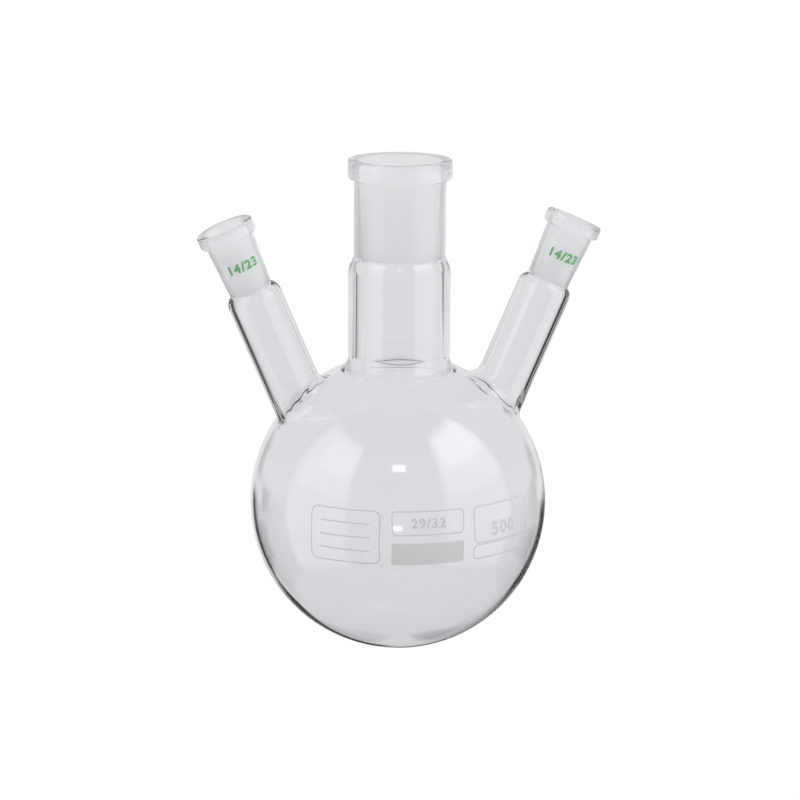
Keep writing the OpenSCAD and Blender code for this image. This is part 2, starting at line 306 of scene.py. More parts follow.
@dataclass(frozen=True)
class Bulb:
    """The round bulb: a hollow ball that stands on the origin."""

    radius: float = 52.5 * MM
    wall: float = 1.7 * MM
    spacing: float = 1.2 * MM
    belt_angle: float = math.radians(100.0)
    belt_columns: int = 264
    belt_rows: int = 58

    CLEAR_OF_EDGE = 0.75

    @property
    def centre(self) -> Array:
        """Middle of the bulb."""
        return np.array([0.0, 0.0, self.radius])

    def _lattice(self, radius: float) -> Array:
        """Even points on a unit ball above the belt.

        Point i of n is at height 1 - (2 i + 1) / n and is turned by i golden angles.

        Args:
            radius: Radius at which the points lie a spacing apart.

        Returns:
            Array (n, 3).
        """
        cell = 0.5 * math.sqrt(3.0) * (self.spacing / radius) ** 2
        n = round(4.0 * math.pi / cell)
        i = np.arange(n)
        z = 1.0 - (2.0 * i + 1.0) / n
        around = i * math.pi * (3.0 - math.sqrt(5.0))
        flat = np.sqrt(1.0 - z * z)
        return np.stack([flat * np.cos(around), flat * np.sin(around), z], 1)[z > math.cos(self.belt_angle)]

    @staticmethod
    def _inside(flat: Array, loop: Array) -> Array:
        """Whether each flat point lies in a loop: an odd number of its edges cross the ray to +X.

        Args:
            flat: Array (n, 2) of points.
            loop: Array (m, 2) of the loop's points in turn.

        Returns:
            Array (n) of truths.
        """
        x, y = flat[:, :1], flat[:, 1:]
        ax, ay = loop.T
        bx, by = np.roll(loop, -1, axis=0).T
        spans = (ay > y) != (by > y)
        rise = np.where(by == ay, 1.0, by - ay)
        return (spans & (x < ax + (y - ay) * (bx - ax) / rise)).sum(1) % 2 == 1

    def _cap(self, radius: float, loops: list[Array], belt: Array) -> tuple[Array, Array]:
        """The top of the ball between the belt and the loops where the necks join.

        The points are laid flat in a way that keeps circles as circles, so that the best triangles of
        the flat points are the best ones on the ball too. A triangle with all its corners on one loop
        fills a hole and is dropped.

        Args:
            radius: Radius of the ball.
            loops: Closed rows of points, relative to the middle.
            belt: The closed row of points where the bowl begins.

        Returns:
            Points relative to the middle, and triangles.
        """
        edges = [*loops, belt]
        lattice = self._lattice(radius)
        for edge in edges:
            near = np.min(np.linalg.norm(lattice[:, None, :] - edge[None, ::2, :] / radius, axis=2), axis=1)
            lattice = lattice[near > self.CLEAR_OF_EDGE * self.spacing / radius]
        flat = laid_flat(lattice)
        open_ground = np.ones(len(flat), bool)
        for loop in loops:
            open_ground &= ~self._inside(flat, laid_flat(loop / radius))
        points = np.concatenate([*edges, lattice[open_ground] * radius])
        flat = laid_flat(points / radius)
        starts = np.cumsum([0] + [len(e) for e in edges])
        ties = np.concatenate([np.stack([np.arange(a, b), np.roll(np.arange(a, b), -1)], 1)
                               for a, b in zip(starts[:-1], starts[1:])])
        _, _, faces, origins, _, _ = delaunay_2d_cdt(flat.tolist(), ties.tolist(), [], 0, 1e-9)
        origin = np.array([o[0] for o in origins])
        faces = origin[np.array(faces)]
        a, b, c = np.searchsorted(starts, faces, side="right").T
        in_hole = (a == b) & (b == c) & (a <= len(loops))
        return points, faces[~in_hole]

    def skin(self, radius: float, loops: list[Array], inner: bool) -> list[Patch]:
        """The ball of a radius with the necks' loops left open: a cap above the belt and a bowl below.

        The bowl is radius (sin p cos q, sin p sin q, cos p) for p from the belt's angle to a half turn.

        Args:
            radius: Radius of the outside or of the cavity.
            loops: Closed rows of points where the necks begin.
            inner: Whether this is the cavity, whose air side faces the middle.

        Returns:
            The two patches.
        """
        q = np.linspace(0.0, 2.0 * math.pi, self.belt_columns, endpoint=False)
        p = np.linspace(self.belt_angle, math.pi, self.belt_rows)
        p, q = np.meshgrid(p, q, indexing="ij")
        bowl = radius * np.stack([np.sin(p) * np.cos(q), np.sin(p) * np.sin(q), np.cos(p)], -1)
        cap, cap_faces = self._cap(radius, [loop - self.centre for loop in loops], bowl[0])
        bowl = bowl.reshape(-1, 3)
        cap_places = cap + self.centre
        cap_places[:sum(len(loop) for loop in loops)] = np.concatenate(loops)
        side = -1.0 if inner else 1.0
        return [
            Patch(places, side * unit(rel), np.zeros(len(rel)), np.full(len(rel), float(inner)), faces)
            for places, rel, faces in (
                (cap_places, cap, cap_faces),
                (bowl + self.centre, bowl, grid_faces(self.belt_rows, self.belt_columns, closed=True)),
            )
        ]


@dataclass(frozen=True)
class Neck:
    """One neck: a beaded rim, a ground socket, a shoulder and a tube that runs into the bulb."""

    rim: tuple[float, float, float]
    tilt: float
    turn: float
    bead_d: float
    bead_h: float
    joint_d: float
    joint_slope: float
    socket_d: float
    socket_h: float
    mouth_h: float
    tube_d: float
    tube_wall: float
    shoulder_h: float
    blend_r: float
    weld: float
    columns: int

    SOCKET_SLOPE = 0.05
    TOP_SHARE = 0.4
    UNDER_SHARE = 0.6
    ROOT_SHARE = 0.35
    LIP_SHARE = 0.4
    MOUTH_HAZE = 0.45
    TUBE_ROWS = 14
    TUBE_CROWDING = 1.5
    BLEND_ROWS = 9

    @property
    def axis(self) -> Array:
        """Unit vector up the neck: leaning by tilt, in the direction that is turn from +X."""
        lean = math.sin(self.tilt)
        return np.array([lean * math.cos(self.turn), lean * math.sin(self.turn), math.cos(self.tilt)])

    @property
    def bore_r(self) -> float:
        """Inner radius of the tube under the joint."""
        return self.tube_d / 2 - self.tube_wall

    def spokes(self) -> Array:
        """Unit vectors from the axis to each column: cos a side + sin a ahead, round the full turn.

        Returns:
            Array (columns, 3).
        """
        side = unit(np.cross(self.axis, [0.0, 1.0, 0.0]))
        ahead = np.cross(side, self.axis)
        a = np.linspace(0.0, 2.0 * math.pi, self.columns, endpoint=False)[:, None]
        return np.cos(a) * side + np.sin(a) * ahead

    def joint_r(self, drop: float) -> float:
        """Outer radius of the joint at a distance below the rim."""
        return self.joint_d / 2 - self.joint_slope * drop

    def meridian(self) -> Meridian:
        """Draws the neck from the foot of its inner shoulder, over the rim, to that of its outer one.

        Returns:
            The line, not softened yet.
        """
        end = self.mouth_h + self.socket_h
        foot = end + self.shoulder_h
        socket_r, bead_r = self.socket_d / 2, self.bead_d / 2
        socket_end = socket_r - self.SOCKET_SLOPE * self.socket_h
        overhang = bead_r - self.joint_r(self.bead_h)
        lip = self.LIP_SHARE * self.mouth_h
        top, under, root = (share * overhang for share in (self.TOP_SHARE, self.UNDER_SHARE, self.ROOT_SHARE))
        root_drop = self.bead_h + root
        half_pi = math.pi / 2
        m = Meridian()
        m.line((self.bore_r, -foot - self.shoulder_h / 2), (self.bore_r, -foot))
        m.shoulder(socket_end, self.bore_r, -end, self.shoulder_h, upwards=True)
        m.line((socket_end, -end), (socket_r, -self.mouth_h), ground=1.0)
        m.line((socket_r, -self.mouth_h), (socket_r, -lip), self.MOUTH_HAZE)
        m.arc((socket_r + lip, -lip), lip, math.pi, half_pi, self.MOUTH_HAZE)
        m.line((socket_r + lip, 0.0), (bead_r - top, 0.0), self.MOUTH_HAZE)
        m.arc((bead_r - top, -top), top, half_pi, 0.0)
        m.line((bead_r, -top), (bead_r, under - self.bead_h))
        m.arc((bead_r - under, under - self.bead_h), under, 0.0, -half_pi)
        m.arc((self.joint_r(root_drop) + root, -root_drop), root, half_pi, math.pi)
        m.line((self.joint_r(root_drop), -root_drop), (self.joint_r(end), -end))
        m.shoulder(self.joint_r(end), self.tube_d / 2, -end, self.shoulder_h, upwards=False)
        m.line((self.tube_d / 2, -foot), (self.tube_d / 2, -foot - self.shoulder_h / 2))
        return m

    def blend(self, tube_r: float, ball_r: float, bulb: Bulb, skin_r: float) -> tuple[Array, Array, Array]:
        """The round in the corner between the tube and the bulb, as a rolling ball leaves it.

        A ball of radius ball_r touches both. Its middle lies tube_r + ball_r from the neck's axis and
        skin_r + ball_r from the bulb's middle, which fixes how far down the neck it is at each column.
        The round is ball + ball_r d, where d swings from the tube to the bulb in equal angles.

        Args:
            tube_r: Radius of the tube.
            ball_r: Radius of the round.
            bulb: The bulb.
            skin_r: Radius of the bulb's skin that the tube meets.

        Returns:
            Drop below the rim of the round's upper edge (columns), points and normals (rows, columns, 3).
        """
        spokes, base = self.spokes(), np.array(self.rim) - bulb.centre
        start = base + (tube_r + ball_r) * spokes
        along = start @ self.axis
        climb = -along + np.sqrt(along**2 - np.sum(start**2, 1) + (skin_r + ball_r) ** 2)
        ball = start + climb[:, None] * self.axis
        to_bulb = -unit(ball)
        sweep = np.arccos(-np.sum(spokes * to_bulb, 1))[:, None]
        t = np.linspace(0.0, 1.0, self.BLEND_ROWS)[:, None, None]
        swing = (np.sin((1.0 - t) * sweep) * -spokes + np.sin(t * sweep) * to_bulb) / np.sin(sweep)
        return -climb, bulb.centre + ball + ball_r * swing, -swing

    def _tube(self, radius: float, first: float, last: Array) -> tuple[Array, Array]:
        """The straight tube from one drop to another, with its rows closer towards the root.

        The drop is first + (last - first) (1 - (1 - t)^TUBE_CROWDING), and a point is the rim's
        middle, less the drop along the axis, plus the radius along its spoke.

        Args:
            radius: Radius of the tube.
            first: Drop below the rim where it begins.
            last: Drop where it ends, at each column.

        Returns:
            Points and outward unit vectors (rows, columns, 3).
        """
        t = np.linspace(0.0, 1.0, self.TUBE_ROWS)[1:-1, None]
        drop = first + (last - first) * (1.0 - (1.0 - t) ** self.TUBE_CROWDING)
        points = np.array(self.rim) - drop[..., None] * self.axis + radius * self.spokes()
        return points, np.broadcast_to(self.spokes(), points.shape)

    def wall(self, bulb: Bulb) -> tuple[Patch, Array, Array]:
        """The whole neck as one grid, from the cavity's skin over the rim to the bulb's outer skin.

        Args:
            bulb: The bulb that it joins.

        Returns:
            The patch, and the closed rows of points on the cavity and on the outside.
        """
        line, across, ground = self.meridian().softened()
        spokes = self.spokes()
        turned_line, turned_across = (
            middle + flat[:, 1, None, None] * self.axis + flat[:, 0, None, None] * spokes
            for middle, flat in ((np.array(self.rim), line), (np.zeros(3), across)))
        cavity_r = bulb.radius - bulb.wall
        ball_in = self.blend_r + (self.tube_wall + bulb.wall) / 2
        drop_in, points_in, normals_in = self.blend(self.bore_r, ball_in, bulb, cavity_r)
        drop_out, points_out, normals_out = self.blend(self.tube_d / 2, self.blend_r, bulb, bulb.radius)
        tube_in, spokes_in = self._tube(self.bore_r, -line[0, 1], drop_in)
        tube_out, spokes_out = self._tube(self.tube_d / 2, -line[-1, 1], drop_out)
        points = np.concatenate([points_in[::-1], tube_in[::-1], turned_line, tube_out, points_out])
        normals = np.concatenate(
            [-normals_in[::-1], -spokes_in[::-1], turned_across, spokes_out, normals_out])
        rows = len(points)
        below = len(points_in) + len(tube_in)
        marks = np.zeros((2, rows, self.columns))
        marks[0, below:below + len(line)] = ground[:, None]
        marks[1, :below + int(np.argmax(line[:, 1]))] = 1.0
        patch = Patch(points.reshape(-1, 3), normals.reshape(-1, 3), marks[0].ravel(), marks[1].ravel(),
                      grid_faces(rows, self.columns, closed=True))
        return patch, points[0], points[-1]


@dataclass(frozen=True)
class Flow:
    """The slight unevenness that the flame leaves: ripples where a neck was joined, and a bulb wall
    that isn't quite even."""

    weld_width: float = 3.4 * MM
    weld_inner: float = 0.16 * MM
    weld_outer: float = 0.07 * MM
    wall_swing: float = 0.07 * MM
    wall_waves: tuple[tuple[float, float, float, float], ...] = (
        (61.0, 37.0, 92.0, 0.4), (-88.0, 71.0, 45.0, 2.1),
        (35.0, -102.0, 58.0, 4.0), (120.0, 24.0, -76.0, 5.3))
    even_from: float = 1.75
    even_by: float = 2.0
    probe: float = 0.05 * MM

    def height(self, points: Array, inner: Array, necks: list[Neck], bulb: Bulb) -> Array:
        """How far each point is moved to the air side.

        Around each neck it is a sum of waves round the axis, under a bell curve of the distance from
        the ring where the glass was joined. The cavity has slow waves besides, which fade out between
        even_from and even_by bulb radii over the floor.

        Args:
            points: Array (n, 3).
            inner: 1 on the cavity's side, and 0 outside.
            necks: The necks.
            bulb: The bulb.

        Returns:
            Array (n) of lengths.
        """
        total = np.zeros(len(points))
        for k, neck in enumerate(necks):
            spokes = neck.spokes()
            side, ahead = spokes[0], spokes[len(spokes) // 4]
            rel = points - np.array(neck.rim)
            base = np.array(neck.rim) - bulb.centre
            along = base @ neck.axis
            root = along - math.sqrt(along**2 - base @ base + bulb.radius**2)
            drop = -(rel @ neck.axis)
            angle = np.arctan2(rel @ ahead, rel @ side)
            out = np.linalg.norm(rel + drop[:, None] * neck.axis, axis=1)
            away = np.hypot(out - neck.tube_d / 2, drop - root)
            waves = (0.45 * np.sin(3.0 * angle + 1.1 + k) + 0.3 * np.sin(7.0 * angle + 350.0 * drop + 2.0 * k)
                     + 0.25 * np.sin(12.0 * angle - 900.0 * out + 0.7))
            strength = self.weld_outer + (self.weld_inner - self.weld_outer) * inner
            total += neck.weld * strength * np.exp(-((away / self.weld_width) ** 2)) * waves
        slow = sum(np.sin(points @ np.array(wave[:3]) + wave[3]) for wave in self.wall_waves)
        fade = 1.0 - smooth_step(points[:, 2], self.even_from * bulb.radius, self.even_by * bulb.radius)
        return total + inner * fade * self.wall_swing * slow / len(self.wall_waves)

    def applied(self, patch: Patch, necks: list[Neck], bulb: Bulb) -> Patch:
        """Moves the points and tilts the normals against the slope, which is measured by probing.

        The new normal is n less the part of the height's gradient that lies along the surface.

        Args:
            patch: The even surface.
            necks: The necks.
            bulb: The bulb.

        Returns:
            The uneven surface.
        """
        height = self.height(patch.points, patch.inner, necks, bulb)
        slope = np.zeros_like(patch.points)
        for k in range(3):
            shift = np.zeros(3)
            shift[k] = self.probe
            ahead = self.height(patch.points + shift, patch.inner, necks, bulb)
            behind = self.height(patch.points - shift, patch.inner, necks, bulb)
            slope[:, k] = (ahead - behind) / (2.0 * self.probe)
        slope -= patch.normals * np.sum(slope * patch.normals, 1)[:, None]
        return Patch(patch.points + height[:, None] * patch.normals, unit(patch.normals - slope),
                     patch.ground, patch.inner, patch.faces)


@dataclass
class Glass:
    """The flask itself: the bulb and its three necks, fused into one closed skin."""

    bulb: Bulb = field(default_factory=Bulb)
    flow: Flow = field(default_factory=Flow)
    side_tilt: float = math.radians(23.0)
    side_turn: float = math.radians(3.0)
    side_reach: float = 62.3 * MM
    side_height: float = 153.3 * MM

    GROUND_FROM = 0.75

    def centre_neck(self) -> Neck:
        """The wide upright neck. Its rim is the top of the whole part.

        Returns:
            The neck.
        """
        return Neck(rim=(0.0, 0.0, 175.0 * MM), tilt=0.0, turn=0.0, bead_d=36.4 * MM, bead_h=7.0 * MM,
                    joint_d=32.0 * MM, joint_slope=0.0, socket_d=29.2 * MM, socket_h=32.0 * MM,
                    mouth_h=2.5 * MM, tube_d=35.8 * MM, tube_wall=2.9 * MM, shoulder_h=6.0 * MM,
                    blend_r=5.2 * MM, weld=0.25, columns=120)

    def side_neck(self, sign: int) -> Neck:
        """A slanted neck.

        Args:
            sign: 1 for the right one and -1 for the left one.

        Returns:
            The neck.
        """
        across = sign * self.side_reach * math.cos(self.side_turn)
        rim = (across, -self.side_reach * math.sin(self.side_turn), self.side_height)
        turn = -self.side_turn if sign > 0 else math.pi + self.side_turn
        return Neck(rim=rim, tilt=self.side_tilt, turn=turn, bead_d=20.2 * MM, bead_h=4.7 * MM,
                    joint_d=17.4 * MM, joint_slope=Neck.SOCKET_SLOPE, socket_d=14.5 * MM,
                    socket_h=23.0 * MM, mouth_h=1.0 * MM, tube_d=19.3 * MM, tube_wall=1.8 * MM,
                    shoulder_h=3.6 * MM, blend_r=4.4 * MM, weld=1.8, columns=80)

    def necks(self) -> list[Neck]:
        """The centre, the right and the left neck."""
        return [self.centre_neck(), self.side_neck(1), self.side_neck(-1)]

    def build(self) -> bpy.types.Object:
        """Makes the flask and dresses it. The faces in the sockets are of ground glass.

        Returns:
            The piece.
        """
        work, cavity_loops, outer_loops = Patchwork(), [], []
        necks = self.necks()
        for neck in necks:
            patch, cavity_loop, outer_loop = neck.wall(self.bulb)
            work.add(patch)
            cavity_loops.append(cavity_loop)
            outer_loops.append(outer_loop)
        outside = self.bulb.skin(self.bulb.radius, outer_loops, inner=False)
        cavity = self.bulb.skin(self.bulb.radius - self.bulb.wall, cavity_loops, inner=True)
        for patch in outside + cavity:
            work.add(patch)
        whole = self.flow.applied(work.whole(), necks, self.bulb)
        piece = make_piece("flask_glass", whole.points, whole.faces, whole.normals, {"ground": whole.ground})
        for state in Blown:
            piece.data.materials.append(state.value.material())
        matt = whole.ground[whole.faces].min(1) > self.GROUND_FROM
        piece.data.polygons.foreach_set("material_index", matt.astype(np.int32))
        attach(piece, "root")
        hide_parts("flask")
        return piece


# ---------------------------------------------------------------------------------------------------
# Finishes
# ---------------------------------------------------------------------------------------------------


def new_material(name: str) -> tuple[bpy.types.Material, bpy.types.Node]:
    """Makes a material with a Principled shader.

    Args:
        name: Name of the material.

    Returns:
        The material and its shader node.
    """
    material = bpy.data.materials.new(name)
    material.use_nodes = True
    return material, material.node_tree.nodes["Principled BSDF"]


def add_node(tree: bpy.types.NodeTree, kind: str, inputs: dict[str | int, object] | None = None,
             **settings: object) -> bpy.types.Node:
    """Adds a shader node, sets it and feeds its inputs.

    Args:
        tree: The node tree.
        kind: Kind of node, such as Mix.
        inputs: Values by input: a socket of another node is linked, and anything else is set.
        settings: Settings of the node itself, which are made first.

    Returns:
        The node.
    """
    node = tree.nodes.new("ShaderNode" + kind)
    for setting, value in settings.items():
        setattr(node, setting, value)
    for name, value in (inputs or {}).items():
        if isinstance(value, bpy.types.NodeSocket):
            tree.links.new(value, node.inputs[name])
        else:
            node.inputs[name].default_value = value
    return node


def mottle_group() -> bpy.types.NodeTree:
    """The shared node group for fine, uneven grain: noise on Object coordinates.

    Inputs are Scale and the two values between which the output Value runs.

    Returns:
        The group.
    """
    name = "fine mottle"
    if name in bpy.data.node_groups:
        return bpy.data.node_groups[name]
    group = bpy.data.node_groups.new(name, "ShaderNodeTree")
    for label, default in (("Scale", 1000.0), ("Low", 0.0), ("High", 1.0)):
        socket = group.interface.new_socket(label, in_out="INPUT", socket_type="NodeSocketFloat")
        socket.default_value = default
    group.interface.new_socket("Value", in_out="OUTPUT", socket_type="NodeSocketFloat")
    entry, leave = group.nodes.new("NodeGroupInput").outputs, group.nodes.new("NodeGroupOutput")
    place = add_node(group, "TexCoord").outputs["Object"]
    noise = add_node(group, "TexNoise", {"Vector": place, "Scale": entry["Scale"], "Detail": 3.0})
    spread = add_node(group, "MapRange", {"Value": noise.outputs["Fac"], "From Min": 0.3, "From Max": 0.7,
                                          "To Min": entry["Low"], "To Max": entry["High"]})
    group.links.new(spread.outputs["Result"], leave.inputs["Value"])
    return group


def add_mottle(tree: bpy.types.NodeTree, scale: float, low: float, high: float) -> bpy.types.NodeSocket:
    """Places the mottle group in a material with its own values.

    Args:
        tree: The material's node tree.
        scale: Grains to a metre.
        low: Lowest value.
        high: Highest value.

    Returns:
        The output socket.
    """
    node = tree.nodes.new("ShaderNodeGroup")
    node.node_tree = mottle_group()
    for label, value in (("Scale", scale), ("Low", low), ("High", high)):
        node.inputs[label].default_value = value
    return node.outputs["Value"]


@dataclass(frozen=True)
class GlassFinish:
    """Borosilicate glass. The ground attribute of the mesh makes it matt by as much as it says."""

    name: str
    transmission: float = 1.0
    ior: float = 1.473
    clear_colour: tuple[float, float, float, float] = (0.956, 0.965, 0.979, 1.0)
    ground_colour: tuple[float, float, float, float] = (0.99, 0.99, 0.99, 1.0)
    clear_roughness: float = 0.0
    ground_roughness: tuple[float, float] = (0.72, 0.84)
    ground_grain: float = 9000.0

    def material(self) -> bpy.types.Material:
        """Makes the material: the ground attribute mixes the clear values with the matt ones.

        Returns:
            The material.
        """
        material, shader = new_material(self.name)
        tree = material.node_tree
        shader.inputs["IOR"].default_value = self.ior
        shader.inputs["Transmission Weight"].default_value = self.transmission
        mark = add_node(tree, "Attribute", attribute_name="ground").outputs["Fac"]
        colour = add_node(tree, "Mix", {"Factor": mark, "A": self.clear_colour, "B": self.ground_colour},
                          data_type="RGBA")
        grain = add_mottle(tree, self.ground_grain, *self.ground_roughness)
        rough = add_node(tree, "Mix", {"Factor": mark, "A": self.clear_roughness, "B": grain})
        tree.links.new(colour.outputs["Result"], shader.inputs["Base Color"])
        tree.links.new(rough.outputs["Result"], shader.inputs["Roughness"])
        return material


class Blown(Enum):
    """The two states of the flask's glass."""

    CLEAR = GlassFinish("borosilicate_glass")
    GROUND = GlassFinish("ground_glass", transmission=0.5)


@dataclass(frozen=True)
class EnamelFinish:
    """A thin ceramic colour that was printed on the glass and fired into it."""

    name: str
    colour: tuple[float, float, float]
    roughness: float = 0.55
    grain: float = 2500.0
    thin: float = 0.82

    SWING = 0.08

    def material(self) -> bpy.types.Material:
        """Makes the material: the colour and its gloss vary a little with the grain of the print.

        Returns:
            The material.
        """
        material, shader = new_material(self.name)
        tree, opaque = material.node_tree, (1.0,)
        shade = add_node(tree, "Mix", {"Factor": add_mottle(tree, self.grain, 0.0, 1.0),
                                       "A": tuple(self.thin * c for c in self.colour) + opaque,
                                       "B": self.colour + opaque}, data_type="RGBA")
        gloss = add_mottle(tree, self.grain / 3.0, self.roughness - self.SWING, self.roughness + self.SWING)
        tree.links.new(shade.outputs["Result"], shader.inputs["Base Color"])
        tree.links.new(gloss, shader.inputs["Roughness"])
        return material


class Enamel(Enum):
    """The enamels on the flask."""

    WHITE = EnamelFinish("white_enamel", (0.67, 0.675, 0.68), thin=0.9)
    PATCH = EnamelFinish("patch_enamel", (0.71, 0.715, 0.71), roughness=0.7, thin=0.93)
    GREEN = EnamelFinish("green_enamel", (0.16, 0.52, 0.18))


# ---------------------------------------------------------------------------------------------------
# Marks
# ---------------------------------------------------------------------------------------------------


@dataclass
class Solid:
    """A thin solid of enamel. Flat, it has x to the right, y up and the lift off the glass."""

    points: Array
    faces: Array


@dataclass(frozen=True)
class Print:
    """How the enamel lies: between two heights over the glass, in cells that follow its curve."""

    low: float = 0.02 * MM
    high: float = 0.05 * MM
    cell: float = 0.8 * MM

    LEAST_STEP = 0.02
    CORNER_ROWS = 5
    NUMERAL_CUT = 0.6
    WELD = 1e-5

    def ribbon(self, path: Array, width: float, closed: bool) -> Solid:
        """A line of enamel: a flat rectangle carried along a path in the plane.

        Each corner is path + side, where side is plus or minus half the width across the path, at
        the low or the high lift.

        Args:
            path: Array (n, 2).
            width: Width of the line.
            closed: Whether the path comes back to its start.

        Returns:
            The solid.
        """
        if closed:
            along = unit(np.roll(path, -1, axis=0) - np.roll(path, 1, axis=0))
        else:
            along = unit(np.gradient(path, axis=0))
        across = np.stack([along[:, 1], -along[:, 0]], 1) * width / 2
        corners = [(1, self.low), (1, self.high), (-1, self.high), (-1, self.low)]
        rings = np.stack([np.column_stack([path + sign * across, np.full(len(path), lift)])
                          for sign, lift in corners], 1)
        if closed:
            faces = grid_faces(len(path) + 1, 4, closed=True) % (4 * len(path))
        else:
            ends = np.array([[0, 1, 2], [0, 2, 3]])
            faces = np.concatenate([grid_faces(len(path), 4, closed=True), ends[:, ::-1],
                                    ends + 4 * (len(path) - 1)])
        return Solid(rings.reshape(-1, 3), faces)

    def rounded_path(self, width: float, height: float, corner: float) -> Array:
        """A rectangle with round corners about the origin, as points a cell or less apart.

        The corners are quarter circles about the four points that lie the corner's radius inside.

        Args:
            width: Width of the rectangle.
            height: Height of the rectangle.
            corner: Radius of its corners.

        Returns:
            Array (n, 2).
        """
        steps = max(3, math.ceil(corner * math.pi / 2 / self.cell))
        quarter = np.linspace(0.0, math.pi / 2, steps + 1)
        stops = np.concatenate([
            np.stack([sx * (width / 2 - corner) + corner * np.cos(quarter + first),
                      sy * (height / 2 - corner) + corner * np.sin(quarter + first)], 1)
            for sx, sy, first in ((1, 1, 0.0), (-1, 1, math.pi / 2), (-1, -1, math.pi),
                                  (1, -1, 1.5 * math.pi))])
        shut = np.concatenate([stops, stops[:1]])
        run = run_along(shut)
        marks = np.unique(np.concatenate([run, np.arange(0.0, run[-1], self.cell)]))[:-1]
        keep = np.concatenate([[True], np.diff(marks) > self.LEAST_STEP * self.cell])
        return sampled(shut, run, marks[keep])

    def frame(self, width: float, height: float, corner: float, line: float) -> Solid:
        """A rounded frame whose outer size is given."""
        path = self.rounded_path(width - line, height - line, corner - line / 2)
        return self.ribbon(path, line, closed=True)

    def rule(self, length: float, line: float) -> Solid:
        """A straight line about the origin."""
        x = np.linspace(-length / 2, length / 2, math.ceil(length / self.cell) + 1)
        return self.ribbon(np.stack([x, np.zeros_like(x)], 1), line, closed=False)

    def field(self, width: float, height: float, corner: float) -> Solid:
        """A filled rectangle with round corners: rows as wide as the outline is at their height.

        Half the width of a row is width / 2, less corner - sqrt(corner^2 - d^2) where the row lies
        d inside a corner.

        Args:
            width: Width of the rectangle.
            height: Height of the rectangle.
            corner: Radius of its corners.

        Returns:
            The solid, closed by a wall along its outline.
        """
        straight = height / 2 - corner
        inside = np.linspace(-1.0, 1.0, 2 * math.ceil(straight / self.cell) + 1) * straight
        round_part = corner * np.sin(np.linspace(0.0, math.pi / 2, self.CORNER_ROWS + 1))[1:]
        y = np.concatenate([-straight - round_part[::-1], inside, straight + round_part])
        depth = np.clip(np.abs(y) - straight, 0.0, corner)
        half = width / 2 - corner + np.sqrt(corner**2 - depth**2)
        s = np.linspace(-1.0, 1.0, math.ceil(width / self.cell) + 1)
        sheet = np.stack([s * half[:, None], np.broadcast_to(y[:, None], (len(y), len(s)))], -1)
        rows, columns = sheet.shape[:2]
        sheets = [np.concatenate([sheet, np.full((rows, columns, 1), lift)], -1).reshape(-1, 3)
                  for lift in (self.high, self.low)]
        number = np.arange(rows * columns).reshape(rows, columns)
        edge = np.concatenate([number[0, :-1], number[:-1, -1], number[-1, :0:-1], number[:0:-1, 0]])
        following = np.roll(edge, -1)
        under = rows * columns
        faces = grid_faces(rows, columns, closed=False)
        wall = np.concatenate([np.stack([edge, edge + under, following], 1),
                               np.stack([following, edge + under, following + under], 1)])
        return Solid(np.concatenate(sheets), np.concatenate([faces, faces[:, ::-1] + under, wall]))

    def numerals(self, text: str, height: float, bold: float = 0.034, spacing: float = 1.16) -> Solid:
        """Plain numerals about the origin, cut both ways so that they can follow the glass.

        Args:
            text: Figures and slashes.
            height: Height of a figure.
            bold: Thickening of the strokes, as a share of the type size.
            spacing: Space between the figures, as a multiple of the type's own.

        Returns:
            The solid.
        """
        curve = bpy.data.curves.new("numerals", "FONT")
        curve.body, curve.offset, curve.space_character = text, bold, spacing
        curve.extrude, curve.resolution_u = 0.01, 6
        holder = bpy.data.objects.new("numerals", curve)
        bpy.context.scene.collection.objects.link(holder)
        flat = bpy.data.meshes.new_from_object(holder.evaluated_get(bpy.context.evaluated_depsgraph_get()))
        bpy.data.objects.remove(holder)
        bpy.data.curves.remove(curve)
        work = bmesh.new()
        work.from_mesh(flat)
        bpy.data.meshes.remove(flat)
        bmesh.ops.remove_doubles(work, verts=work.verts, dist=self.WELD)
        points = np.array([v.co for v in work.verts])
        low, high = points.min(0), points.max(0)
        scale = height / (high[1] - low[1])
        step = self.NUMERAL_CUT * self.cell / scale
        for k, across in enumerate(np.eye(3)[:2]):
            for cut in np.arange(low[k] + step, high[k], step):
                bmesh.ops.bisect_plane(work, geom=work.verts[:] + work.edges[:] + work.faces[:],
                                       plane_co=across * cut, plane_no=across)
        bmesh.ops.triangulate(work, faces=work.faces)
        bmesh.ops.recalc_face_normals(work, faces=work.faces)
        points = np.array([v.co for v in work.verts])
        faces = np.array([[v.index for v in f.verts] for f in work.faces])
        work.free()
        flat_points = (points - (low + high) / 2) * scale
        flat_points[:, 2] = np.where(points[:, 2] > 0, self.high, self.low)
        return Solid(flat_points, faces)


